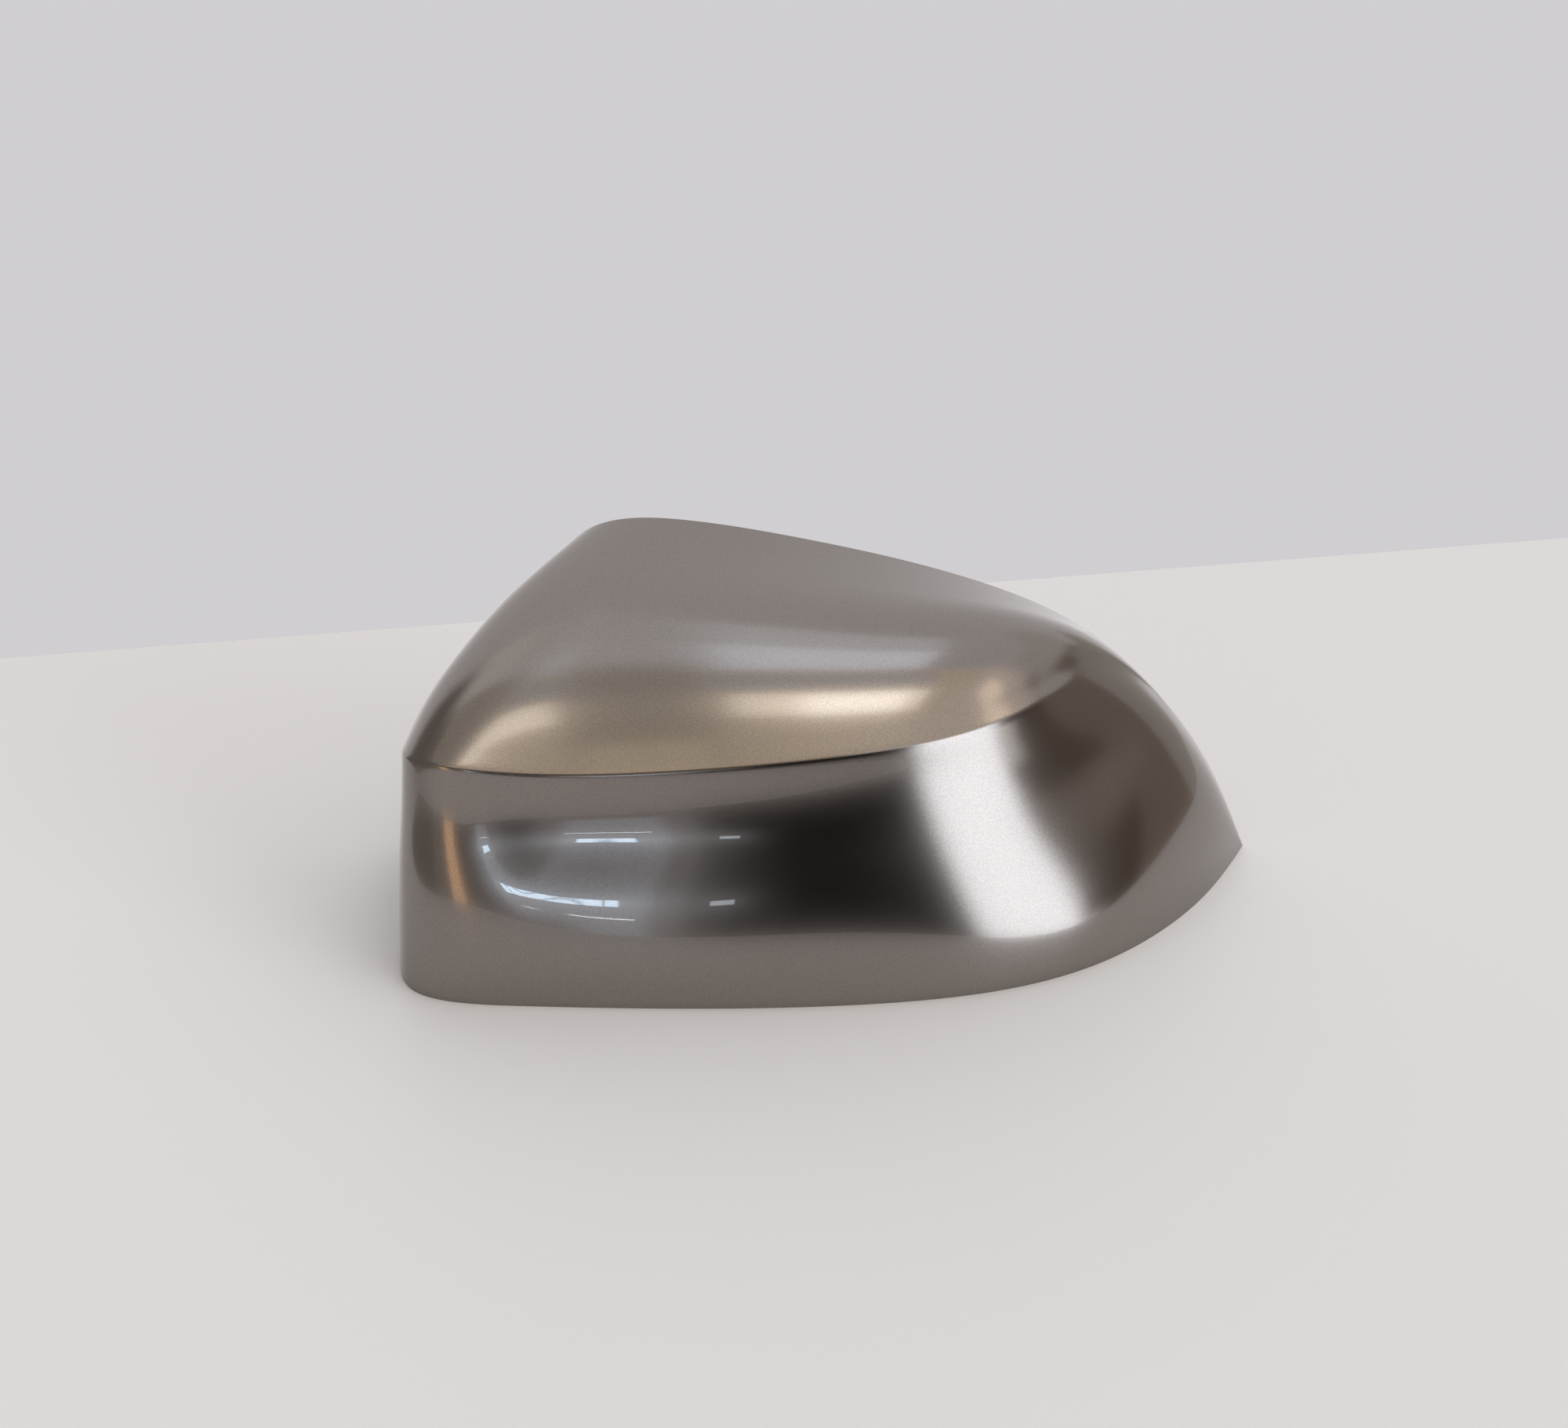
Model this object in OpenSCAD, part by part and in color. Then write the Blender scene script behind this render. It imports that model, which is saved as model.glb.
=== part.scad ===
// Cover shell of a car's wing mirror: one painted moulding that clips over the front of the mirror head.
// Seen from the front of the car: X runs from the inner side to the outer tip, Y runs back to the glass
// side, Z runs up from the lower edge on which the shell stands. The back and the underside are open.

/* [Shell] */
// Width from the inner side to the outer tip
cap_w = 240; // [200:1:280]
// Depth from the front of the lower edge to the glass-side edge
cap_d = 92; // [80:1:110]
// Height of the glass-side edge at its top corner
cap_h = 103; // [92:1:116]
// Thickness of the moulded wall
wall = 2.5; // [2:0.1:3.2]
// Bevel on the cut edges
edge_bevel = 0.4; // [0.2:0.1:0.7]

/* [Front wall] */
// Length of the rounding of the front inner corner along the front
corner_w = 38; // [28:1:46]
// Length of the rounding of the front inner corner along the inner side
corner_d = 37; // [28:1:44]
// Bow of the lower edge along the front
front_bow = 1.3; // [0:0.1:3]
// How far the front wall leans back from the lower edge to the ridge
front_lean = 11.9; // [7:0.1:13]
// How far the inner side leans in from the lower edge to the ridge
side_lean = 4; // [2:0.5:7]

/* [Ridge and crown] */
// Height of the ridge line above the lower edge, near the front inner corner
ridge_h = 65; // [56:1:72]
// Half width of the tight rounding along the ridge
ridge_round = 1.3; // [1.2:0.1:3]
// How far the crown swells above a straight line from the ridge to the glass-side edge
crown = 11; // [6:0.5:14]

/* [Inside] */
// Radius of the locating posts
post_r = 3; // [2:0.1:4]
// Length of the locating posts from the front wall
post_l = 26; // [18:1:36]
// Radius of the shoulder that a locating post stands on
shoulder_r = 5; // [4.6:0.1:6.5]
// Length of that shoulder from the front wall
shoulder_l = 7; // [6:0.5:10]
// Width of a snap hook
hook_w = 10; // [7:0.5:14]
// Thickness of a snap hook
hook_t = 2; // [1.6:0.1:2.6]
// Length of a snap hook's tongue
hook_l = 24; // [16:1:32]
// Reach of the hook's barb
barb = 2.2; // [1.4:0.1:3]
// Thickness of the stiffening ribs
rib_t = 1.6; // [1.2:0.1:2.2]
// Height of the stiffening ribs above the inner face
rib_h = 5; // [3:0.5:9]

/* [Hidden] */
half_w = cap_w / 2;

// Sections run from the inner side (0) round the front inner corner (3) to the outer tip (11).
SIDE = 3;
TIP = 11;
// Rows run up a section: lower edge (0), ridge (5), glass-side edge (10).
RIDGE = 5;
REAR = 10;

// Plan of the lower edge along the inner side: its back end stands in a little
back_in = 1;
// Distances of its second section from the back, its third from the corner and its last from the front
side_back = 22;
side_corner = 3;
side_front = 3.5;
side_x = [back_in - half_w, -half_w, -half_w, -half_w];
side_y = [cap_d, cap_d - side_back, corner_d + side_corner, side_front];
// Plan of the lower edge: places along the front, as shares from the rounded corner to the tip
front_share = [0, 0.21, 0.415, 0.614, 0.766, 0.88, 0.949, 1];
// Bow at the first three of them, as shares of front_bow
bow_share = [1, -0.2, 0.85];
// Plan of the lower edge: how far back the outer part sweeps at the last five, as shares of the depth
sweep = [0.079, 0.251, 0.517, 0.759, 1];
// Sections up to this one carry the ridge, and past it the wall rolls over smoothly
LAST_CREASED = 8;
// Lean of the wall at each of them, inwards as shares of side_lean, and along and back of front_lean
lean_side = [0.83, 1, 1, 1, 0, 0, 0, 0, 0];
lean_along = [0, 0, 0, 0, 0.057, 0, 0, -0.057, -0.474];
lean_back = [0, 0, 0, 0.516, 1, 1, 1, 1.515, 2.689];
// Height of the ridge at each of them, as shares of ridge_h
ridge_rise = [0.68, 0.751, 0.897, 1.044, 0.939, 0.979, 1.033, 1.055, 1.152];
// Half width of the rounding along the ridge at each of them, as multiples of ridge_round
ridge_soft = [1, 1, 1, 1, 1, 1, 1, 1.3, 5];
// The rounding takes at most this share of the way from the ridge to the next row
ROUND_SHARE = 0.7;
// Swell of the crown at each of them, as shares of crown
swell = [0, 0.052, 0.367, 0.585, 1.107, 1.371, 1.304, 1.317, 0.444];
// Fullness of the crown towards the glass-side edge at each of them, as shares of its swell
swell_back = [0.55, 0.6, 0.983, 0.824, 0.677, 0.607, 0.597, 0.558, 0.513];
// Turn of that swell towards the inner side, in degrees
swell_turn = [45, 45, 40, 25, 8, 0, 0, 0, 0];
// Glass-side edge seen from behind: places left and right as shares of half the width
rear_x = [-0.95, -0.848, -0.704, -0.586, -0.341, -0.108, 0.134, 0.352, 0.546, 0.706, 0.9, 1];
// Glass-side edge seen from behind: heights, scaled below so that the curve peaks at cap_h
rear_z = [0.425, 0.6, 0.816, 1.014, 0.999, 0.949, 0.887, 0.812, 0.716, 0.57, 0.296, 0];

// Rows of a creased section below the ridge: shares of the side lean and of the height
wall_side = [0, 0.12, 0.36, 0.74];
wall_up = [0, 0.149, 0.504, 0.733];
// Shares of the front lean at those rows, for each creased section
wall_front = [
    [0, 0, 0, 0, 0, 0, 0, 0, 0],
    [-0.06, -0.06, -0.06, -0.06, -0.081, -0.138, -0.12, -0.07, -0.11],
    [0.266, 0.266, 0.266, 0.266, 0.301, 0.337, 0.332, 0.335, 0.404],
    [0.908, 0.908, 0.908, 0.908, 0.887, 0.845, 0.835, 0.826, 0.798]];
// Rows above the ridge: shares of the way to the glass-side edge, and of the swell
crown_run = [0.209, 0.464, 0.69];
crown_up = [0.917, 1];
// Part of a smooth section's quarter turn that lies below the ridge row
roll_turn = 87.9;
// Fullness of a smooth section: 1 is an ellipse
roll_full = 0.86;

// Places of the inner details, as section and row numbers
POST_AT = [4.5, 6.7];
POST_ROW = 2.1;
UPPER_HOOKS = [4.1, 5.1, 6];
UPPER_ROW = 6.5;
LOWER_HOOKS = [4, 5.3, 6.3];
LOWER_ROW = 0.75;
RIBS = [4.8, 5.6, 7];
RIB_FROM = 1.2;
RIB_TO = 9.2;
// Steps along a rib, and how steeply its ends rise: a fifth of the run takes it to its full height
RIB_STEPS = 18;
RIB_RISE = 5;
// Height of a rib's ends above the inner face
rib_end = 0.1;
// Chamfer at the free end of a post, and the disc in the wall that its shoulder grows from
post_chamfer = 0.8;
root_disc = 0.8;
// Sides of a round post
ROUND_SIDES = 48;
// Length of the fillet at a hook's root
hook_fillet = 2.5;
// Step up the rows between which a hook's root measures the slope of the wall
SLOPE_STEP = 0.2;

function unit(v) = v / norm(v);

// Start of each section on the lower edge
function edge_point(i) =
    i <= SIDE ? [side_x[i], side_y[i], 0]
    : [-half_w + corner_w + (cap_w - corner_w) * front_share[i - 4],
       i < 7 ? front_bow * bow_share[i - 4] : cap_d * sweep[i - 7], 0];

// Lean of the wall from the lower edge to the ridge
function lean(i) =
    [side_lean * lean_side[i] + front_lean * lean_along[i], front_lean * lean_back[i], 0];

function ridge_point(i) = edge_point(i) + lean(i) + [0, 0, ridge_h * ridge_rise[i]];

// End of each section on the glass-side edge. The first one meets the ridge at the back.
rear_peak = max([for (u = [2:0.02:5]) on_curve(rear_z, u)]);
function rear_point(i) =
    i == 0 ? ridge_point(0) : [half_w * rear_x[i], cap_d, cap_h * rear_z[i] / rear_peak];

// Guide points of a section that carries the ridge
function creased(i) =
    let (e = edge_point(i), l = lean(i), c = ridge_point(i), r = rear_point(i),
         s = swell[i] * crown * [-sin(swell_turn[i]), 0, cos(swell_turn[i])],
         rise = concat(crown_up, [swell_back[i]]),
         above = [for (k = [0:2]) c + crown_run[k] * (r - c) + rise[k] * s],
         up = above[0] - c, way = i == 0 ? [0, 0, 0] : unit(up),
         half = min(ridge_round * ridge_soft[i], i == 0 ? ridge_round : ROUND_SHARE * norm(up)),
         below = [for (k = [0:3]) e + [wall_side[k] * l[0], wall_front[k][i] * l[1], wall_up[k] * c[2]]])
    concat(
        below,
        [c - half * unit(c - below[3]), c, c + half * way],
        above,
        [r]);

// Guide points of a section that rolls over smoothly, on a quarter of an ellipse
function rolled(i) =
    let (e = edge_point(i), r = rear_point(i))
    [for (k = [0:REAR])
        let (a = k <= RIDGE ? roll_turn * k / RIDGE
                 : roll_turn + (90 - roll_turn) * (k - RIDGE) / (REAR - RIDGE),
             back = 1 - pow(max(cos(a), 0), roll_full), up = pow(sin(a), roll_full))
        [e[0] + (r[0] - e[0]) * back, e[1] + (r[1] - e[1]) * back, r[2] * up]];

outer_net = [for (i = [0:TIP]) i <= LAST_CREASED ? creased(i) : rolled(i)];

// A mitre never reaches further than the wall divided by this
MITRE_LEAST = 0.3;
// Offset of a corner of a flat outline, so that both its sides move in by the wall
function mitre(before, at, after, flip) =
    let (a = unit(at - before), b = unit(after - at), m = unit(a + b),
         n = flip * [-m[1], m[0]])
    at + wall * n / max(MITRE_LEAST, m * a);

// Inner guide points on the lower edge, worked out in its own plane
function flat(p) = [p[0], p[1]];
edge_line = [for (i = [0:TIP]) flat(outer_net[i][0])];
tip_slope = unit(edge_line[TIP] - edge_line[TIP - 1]);
inner_tip = [half_w - wall / tip_slope[1], cap_d];
inner_edge = [for (i = [0:TIP])
    i == 0 ? edge_line[0] + [wall, 0]
    : i == TIP ? inner_tip
    : mitre(edge_line[i - 1], edge_line[i], edge_line[i + 1], 1)];

// Inner guide points on the glass-side edge, also in its own plane
function upright(p) = [p[0], p[2]];
rear_line = [for (i = [0:TIP]) upright(outer_net[i][REAR])];
inner_rear = [for (i = [0:TIP])
    i == 0 ? mitre(upright(outer_net[0][3]), rear_line[0], rear_line[1], -1)
    : i == TIP ? [inner_tip[0], 0]
    : mitre(rear_line[i - 1], rear_line[i], rear_line[i + 1], -1)];

// Inner guide point between the edges: both the rows and the sections move in by the wall
function inside(i, k) =
    let (at = outer_net[i][k],
         u1 = unit(at - outer_net[i - 1][k]), u2 = unit(outer_net[i + 1][k] - at),
         v1 = unit(at - outer_net[i][k - 1]), v2 = unit(outer_net[i][k + 1] - at),
         u = u1 + u2, v = v1 + v2,
         n = unit(cross(v, u)))
    at + wall * n / (norm(u) / 2 * norm(v) / 2);

// The inner skin's first section stays this far below its corner on the glass-side edge
end_drop = 0.5;
inner_net = [for (i = [0:TIP]) [for (k = [0:REAR])
    k == 0 ? [inner_edge[i][0], inner_edge[i][1], 0]
    : k == REAR || i == TIP || (i == 0 && k >= RIDGE) ? [inner_rear[i][0], cap_d, inner_rear[i][1]]
    : i == 0 ? [outer_net[0][k][0] + wall, cap_d, min(outer_net[0][k][2], inner_rear[0][1] - end_drop)]
    : inside(i, k)]];

// Smooth curve through a row of guide points, ending on the first and the last
function blend(p0, p1, p2, p3, t) =
    (pow(1 - t, 3) * p0 + (3 * pow(t, 3) - 6 * t * t + 4) * p1
     + (1 + 3 * t + 3 * t * t - 3 * pow(t, 3)) * p2 + pow(t, 3) * p3) / 6;
function on_curve(points, at) =
    let (last = len(points) - 1,
         s = min(floor(at), last - 1), t = at - s,
         before = s == 0 ? 2 * points[0] - points[1] : points[s - 1],
         after = s == last - 1 ? 2 * points[last] - points[last - 1] : points[s + 2])
    blend(before, points[s], points[s + 1], after, t);
// Point of a skin at section u and row v, both as fractional numbers
function section_at(net, u) =
    [for (k = [0:REAR]) on_curve([for (i = [0:TIP]) net[i][k]], u)];

// Steps between the guide sections and between the guide rows
U_STEPS = 6;
V_STEPS = [3, 3, 3, 3, 2, 2, 3, 3, 3, 3];
u_full = [for (i = [0:TIP * U_STEPS]) i / U_STEPS];
v_full = concat([for (k = [0:REAR - 1]) for (s = [0:V_STEPS[k] - 1]) k + s / V_STEPS[k]], [REAR]);
// The skins stop short of the cut edges by the bevel
u_marks = [for (u = u_full) max(u, edge_bevel / norm(edge_point(1) - edge_point(0)))];
v_marks = [for (v = v_full)
    min(max(v, edge_bevel / (wall_up[1] * ridge_h)), REAR - edge_bevel / (cap_d * (1 - crown_run[2])))];
NU = len(u_marks) - 1;
NV = len(v_marks) - 1;
RIDGE_V = V_STEPS[0] + V_STEPS[1] + V_STEPS[2] + V_STEPS[3] + V_STEPS[4];

function on_skin(net, u, v) = on_curve(section_at(net, u), v);
function skin(net) =
    [for (u = u_marks) let (s = section_at(net, u)) [for (v = v_marks) on_curve(s, v)]];
outer_skin = skin(outer_net);
inner_skin = skin(inner_net);

// The number of a skin's corner: the tip is one point, and so is the back end of the ridge
function corner(i, j) =
    i == NU ? NU * (NV + 1) : i == 0 && j > RIDGE_V ? RIDGE_V : i * (NV + 1) + j;
SKIN = NU * (NV + 1) + 1;
function corners(grid, tip) = concat([for (i = [0:NU - 1]) for (p = grid[i]) p], [tip]);
outer_tip_trim = [half_w - edge_bevel, cap_d - edge_bevel, edge_bevel];
inner_tip_trim = [inner_tip[0] - edge_bevel, cap_d - edge_bevel, edge_bevel];
// Two triangles for four corners, leaving out any that has shrunk to a line
function halves(a, b, c, d) =
    concat(a != b && b != c && a != c ? [[a, b, c]] : [], a != c && c != d && a != d ? [[a, c, d]] : []);
function shift(c, inner) = inner ? c + SKIN : c;
function skin_faces(inner) =
    [for (i = [0:NU - 1]) for (j = [0:NV - 1])
        let (a = shift(corner(i, j), inner), b = shift(corner(i + 1, j), inner),
             c = shift(corner(i + 1, j + 1), inner), d = shift(corner(i, j + 1), inner))
        for (f = inner ? halves(a, b, c, d) : halves(d, c, b, a)) f];
// The rim: along the lower edge to the tip, back along the glass-side edge and down the inner side
rim_marks = concat(
    [for (i = [0:NU]) [i, 0]],
    [for (i = [NU - 1:-1:1]) [i, NV]],
    [for (j = [RIDGE_V:-1:1]) [0, j]]);
LOOP = len(rim_marks);
rim_outer = [for (m = rim_marks) on_skin(outer_net, u_full[m[0]], v_full[m[1]])];
rim_inner = [for (m = rim_marks) on_skin(inner_net, u_full[m[0]], v_full[m[1]])];
function stepped_in(from, to) = [for (k = [0:LOOP - 1]) from[k] + edge_bevel * unit(to[k] - from[k])];
// Four loops round the rim: outer skin, outer and inner line of the flat cut edge, inner skin
loops = [
    [for (m = rim_marks) corner(m[0], m[1])],
    [for (k = [0:LOOP - 1]) 2 * SKIN + k],
    [for (k = [0:LOOP - 1]) 2 * SKIN + LOOP + k],
    [for (m = rim_marks) SKIN + corner(m[0], m[1])]];
rim_faces =
    [for (q = [0:2]) for (k = [0:LOOP - 1])
        let (n = (k + 1) % LOOP)
        for (f = halves(loops[q][k], loops[q][n], loops[q + 1][n], loops[q + 1][k])) f];

module shell() {
    polyhedron(
        points = concat(corners(outer_skin, outer_tip_trim), corners(inner_skin, inner_tip_trim),
                        stepped_in(rim_outer, rim_inner), stepped_in(rim_inner, rim_outer)),
        faces = concat(skin_faces(false), skin_faces(true), rim_faces));
}

// Middle of the wall, and the way from it into the hollow, at section u and row v
function mid_wall(u, v) = (on_skin(outer_net, u, v) + on_skin(inner_net, u, v)) / 2;
function inward(u, v) = unit(on_skin(inner_net, u, v) - on_skin(outer_net, u, v));

// Locating post: a shoulder that grows out of the wall, and a round pin with a chamfered end
module post(u, v) {
    n = inward(u, v);
    pin = post_l - post_chamfer;
    translate(mid_wall(u, v)) {
        hull() {
            rotate([0, acos(n[2]), atan2(n[1], n[0])])
                cylinder(r = shoulder_r, h = root_disc, $fn = ROUND_SIDES);
            translate([0, shoulder_l, 0]) rotate([90, 0, 0])
                cylinder(r = shoulder_r, h = root_disc, $fn = ROUND_SIDES);
        }
        translate([0, shoulder_l / 2, 0]) rotate([-90, 0, 0])
            cylinder(r = post_r, h = pin - shoulder_l / 2, $fn = ROUND_SIDES);
        translate([0, pin, 0]) rotate([-90, 0, 0])
            cylinder(r1 = post_r, r2 = post_r - post_chamfer, h = post_chamfer, $fn = ROUND_SIDES);
    }
}

// Snap hook: a tongue that points back from the front wall, with a barb below it or above it
module hook(u, v, way) {
    half = hook_t / 2;
    root = half + hook_fillet;
    catch_y = hook_l - 2 * barb;
    climb = mid_wall(u, v + SLOPE_STEP / 2) - mid_wall(u, v - SLOPE_STEP / 2);
    slope = way * climb[1] / climb[2];
    start = wall / 2 + hook_fillet;
    translate(mid_wall(u, v)) rotate([90, 0, 90]) linear_extrude(height = hook_w, center = true)
        polygon([for (p = [
            [-root * slope, -root], [start - half * slope, -half], [catch_y, -half],
            [catch_y, -half - barb], [hook_l, -half], [hook_l, half],
            [start + half * slope, half], [root * slope, root]]) [p[0], way * p[1]]]);
}

// Stiffening rib: a thin web that follows the inner face along a section, between two rows
module rib(u, from, to) {
    run = rear_point(round(u)) - ridge_point(round(u));
    side = unit([run[1], -run[0], 0]) * rib_t / 2;
    n = RIB_STEPS;
    marks = [for (k = [0:n]) from + (to - from) * k / n];
    low = [for (v = marks) mid_wall(u, v)];
    rise = [for (k = [0:n]) (rib_h - rib_end) * min(1, RIB_RISE * k / n, RIB_RISE * (n - k) / n)];
    top = [for (k = [0:n]) low[k] + inward(u, marks[k]) * (wall / 2 + rib_end + rise[k])];
    polyhedron(
        points = concat([for (p = low) p - side], [for (p = low) p + side],
                        [for (p = top) p + side], [for (p = top) p - side]),
        faces = concat(
            [for (k = [0:n - 1]) for (q = [0:3])
                let (a = q * (n + 1) + k, b = ((q + 1) % 4) * (n + 1) + k)
                for (f = [[a, a + 1, b + 1], [a, b + 1, b]]) f],
            [[0, n + 1, 2 * (n + 1)], [0, 2 * (n + 1), 3 * (n + 1)],
             [n, 3 * (n + 1) + n, 2 * (n + 1) + n], [n, 2 * (n + 1) + n, n + 1 + n]]));
}

module mirror_cap() {
    color("#82786f") translate([0, -cap_d / 2, 0]) {
        shell();
        for (u = POST_AT) post(u, POST_ROW);
        for (u = UPPER_HOOKS) hook(u, UPPER_ROW, 1);
        for (u = LOWER_HOOKS) hook(u, LOWER_ROW, -1);
        for (u = RIBS) rib(u, RIB_FROM, RIB_TO);
    }
}

mirror_cap();
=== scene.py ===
import logging
import math
from dataclasses import dataclass, field
from enum import Enum
from typing import Callable, Sequence

import bmesh
import bpy
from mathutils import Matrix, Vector


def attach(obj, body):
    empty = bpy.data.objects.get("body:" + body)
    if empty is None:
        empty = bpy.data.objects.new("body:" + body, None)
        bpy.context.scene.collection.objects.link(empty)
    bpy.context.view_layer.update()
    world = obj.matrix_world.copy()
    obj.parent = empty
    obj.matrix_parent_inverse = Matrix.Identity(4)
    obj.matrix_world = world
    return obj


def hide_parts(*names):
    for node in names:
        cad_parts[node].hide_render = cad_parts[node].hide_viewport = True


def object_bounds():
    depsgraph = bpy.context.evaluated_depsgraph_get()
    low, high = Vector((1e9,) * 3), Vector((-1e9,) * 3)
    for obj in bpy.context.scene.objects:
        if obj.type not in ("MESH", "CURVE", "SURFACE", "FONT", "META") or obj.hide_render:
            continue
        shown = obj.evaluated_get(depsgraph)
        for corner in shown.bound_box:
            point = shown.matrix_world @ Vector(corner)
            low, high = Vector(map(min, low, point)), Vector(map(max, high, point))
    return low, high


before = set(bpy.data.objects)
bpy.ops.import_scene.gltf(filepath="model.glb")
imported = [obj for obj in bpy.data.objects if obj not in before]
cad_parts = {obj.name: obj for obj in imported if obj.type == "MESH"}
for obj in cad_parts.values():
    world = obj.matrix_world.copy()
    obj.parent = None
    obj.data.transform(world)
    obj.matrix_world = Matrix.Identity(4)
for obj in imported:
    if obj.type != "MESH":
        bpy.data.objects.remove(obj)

LOG = logging.getLogger("mirror_cover")
MM = 0.001
TOUCH = 1e-6
RIM_TOUCH = 1e-5
SMOOTH_ANGLE = math.radians(30)
BODY = "root"
NODE = "mirror_cap"
CAD_BOX = [list(corner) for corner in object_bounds()]
AIM = Vector((0, 0, 0.05))

Colour = tuple[float, float, float]
Net = list[list[Vector]]


class Slot(Enum):
    """Material slots of the record."""

    PAINTED = "painted_shell"
    BARE = "bare_plastic"


class Signal:
    """A number worked out by shader nodes, written with Python's arithmetic."""

    def __init__(self, bench: "Bench", socket: bpy.types.NodeSocket) -> None:
        """Wraps one socket.

        Args:
            bench: The node tree's bench, which adds the Math nodes.
            socket: The output that carries the number.
        """
        self.bench = bench
        self.socket = socket

    def _math(self, operation: str, *terms: "Signal | float") -> "Signal":
        """Adds one Math node.

        Args:
            operation: Blender's name of the operation.
            terms: Its inputs in order.

        Returns:
            The node's result.
        """
        node = self.bench.add("ShaderNodeMath", {"operation": operation}, dict(enumerate(terms)))
        return Signal(self.bench, node.outputs[0])

    def __add__(self, other: "Signal | float") -> "Signal":
        """Sum."""
        return self._math("ADD", self, other)

    __radd__ = __add__

    def __sub__(self, other: "Signal | float") -> "Signal":
        """Difference."""
        return self._math("SUBTRACT", self, other)

    def __rsub__(self, other: float) -> "Signal":
        """Difference with a plain number first."""
        return self._math("SUBTRACT", other, self)

    def __mul__(self, other: "Signal | float") -> "Signal":
        """Product."""
        return self._math("MULTIPLY", self, other)

    __rmul__ = __mul__

    def __truediv__(self, other: "Signal | float") -> "Signal":
        """Quotient."""
        return self._math("DIVIDE", self, other)

    def lowest(self, other: "Signal | float") -> "Signal":
        """The smaller of two numbers."""
        return self._math("MINIMUM", self, other)

    def highest(self, other: "Signal | float") -> "Signal":
        """The larger of two numbers."""
        return self._math("MAXIMUM", self, other)

    def arctan2(self, other: "Signal | float") -> "Signal":
        """Angle of the point (other, self), in radians."""
        return self._math("ARCTAN2", self, other)

    def arcsine(self) -> "Signal":
        """Angle whose sine this is, in radians."""
        return self._math("ARCSINE", self)

    def fade(self, start: float, end: float) -> "Signal":
        """Smooth change from 0 at start to 1 at end, which may be the smaller one."""
        flip = start > end
        low, high = (end, start) if flip else (start, end)
        settings = {"interpolation_type": "SMOOTHSTEP", "clamp": True}
        inputs = {"Value": self, "From Min": low, "From Max": high}
        inputs |= {"To Min": 1.0, "To Max": 0.0} if flip else {"To Min": 0.0, "To Max": 1.0}
        node = self.bench.add("ShaderNodeMapRange", settings, inputs)
        return Signal(self.bench, node.outputs[0])

    def band(self, low: float, high: float, soft: float) -> "Signal":
        """1 between low and high, fading to 0 outside over a width."""
        return self.fade(low - soft, low + soft) * self.fade(high + soft, high - soft)


class Bench:
    """Adds nodes to one node tree."""

    def __init__(self, tree: bpy.types.NodeTree) -> None:
        """Starts from an empty tree."""
        self.tree = tree
        tree.nodes.clear()

    def add(self, kind: str, settings: dict, inputs: dict) -> bpy.types.Node:
        """Adds one node.

        Args:
            kind: The node's type.
            settings: Its properties, set before its sockets.
            inputs: Values, sockets or signals, by the name or number of the input.

        Returns:
            The new node.
        """
        node = self.tree.nodes.new(kind)
        for name, value in settings.items():
            setattr(node, name, value)
        for key, value in inputs.items():
            if isinstance(value, Signal):
                value = value.socket
            if isinstance(value, bpy.types.NodeSocket):
                self.tree.links.new(value, node.inputs[key])
            else:
                node.inputs[key].default_value = value
        return node

    def parts(self, vector: bpy.types.NodeSocket) -> tuple[Signal, Signal, Signal]:
        """Splits a vector into its three numbers."""
        node = self.add("ShaderNodeSeparateXYZ", {}, {0: vector})
        return tuple(Signal(self, out) for out in node.outputs[:3])

    def mix(self, factor: Signal | float, first: object, second: object) -> bpy.types.NodeSocket:
        """Mixes two colours.

        Args:
            factor: 0 gives the first colour and 1 the second.
            first: A colour or a socket.
            second: A colour or a socket.

        Returns:
            The mixed colour.
        """
        values = [(*c, 1.0) if isinstance(c, tuple) else c for c in (first, second)]
        settings = {"data_type": "RGBA", "clamp_factor": True}
        return self.add("ShaderNodeMix", settings, {0: factor, 6: values[0], 7: values[1]}).outputs[2]

    def noise(self, place: bpy.types.NodeSocket, size: float, detail: float = 2.0) -> Signal:
        """Noise with grains of a size in metres."""
        node = self.add("ShaderNodeTexNoise", {}, {"Vector": place, "Scale": 1.0 / size, "Detail": detail})
        return Signal(self, node.outputs[0])


@dataclass(frozen=True)
class Finish:
    """A surface finish, made once as a material."""

    name: str

    def surface(self, bench: Bench, place: bpy.types.NodeSocket) -> dict:
        """Values and links of the surface shader, by the name of its input."""
        raise NotImplementedError

    def material(self) -> bpy.types.Material:
        """The finish as a material on Object coordinates."""
        known = bpy.data.materials.get(self.name)
        if known:
            return known
        made = bpy.data.materials.new(self.name)
        made.use_nodes = True
        bench = Bench(made.node_tree)
        place = bench.add("ShaderNodeTexCoord", {}, {}).outputs["Object"]
        shader = bench.add("ShaderNodeBsdfPrincipled", {}, self.surface(bench, place))
        bench.add("ShaderNodeOutputMaterial", {}, {"Surface": shader.outputs[0]})
        return made


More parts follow.
